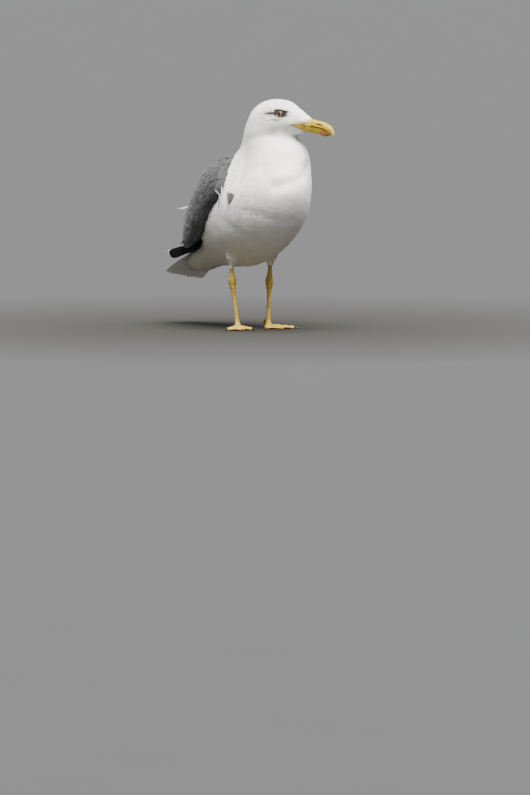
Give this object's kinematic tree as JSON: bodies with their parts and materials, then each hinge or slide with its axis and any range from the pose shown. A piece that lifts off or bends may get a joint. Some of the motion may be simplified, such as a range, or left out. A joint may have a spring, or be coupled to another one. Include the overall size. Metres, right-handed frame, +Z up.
{
  "type": "yellow-legged gull figure",
  "caption": "Life-size standing adult yellow-legged gull, still: white body, grey folded wings, black wing tips, yellow bill and webbed feet, head turned to its left.",
  "frame": {"origin": "centre of the bird's box, on the floor under its feet", "axes": "the bird faces -Y, its left side is +X, and +Z is up"},
  "size_m": [0.1432, 0.3626, 0.3585],
  "materials": {
    "body_plumage": "matte",
    "wing_plumage": "matte",
    "flight_feathers": "matte",
    "tail_feathers": "matte",
    "bill_horn": "satin",
    "leg_skin": "satin",
    "claw_horn": "satin",
    "eye": "gloss"
  },
  "bodies": {
    "root": {"bill_lower": "bill_horn", "bill_upper": "bill_horn", "claw_inner_left": "claw_horn", "claw_inner_right": "claw_horn", "claw_middle_left": "claw_horn", "claw_middle_right": "claw_horn", "claw_outer_left": "claw_horn", "claw_outer_right": "claw_horn", "eye_left": "eye", "eye_right": "eye", "foot_left": "leg_skin", "foot_right": "leg_skin", "head": "body_plumage", "hind_toe_left": "leg_skin", "hind_toe_right": "leg_skin", "neck": "body_plumage", "primaries_left": "flight_feathers", "primaries_right": "flight_feathers", "tail": "tail_feathers", "tarsus_left": "leg_skin", "tarsus_right": "leg_skin", "thigh_left": "body_plumage", "thigh_right": "body_plumage", "tibia_left": "leg_skin", "tibia_right": "leg_skin", "trunk": "body_plumage", "wing_left": "wing_plumage", "wing_right": "wing_plumage"}
  },
  "joints": []
}
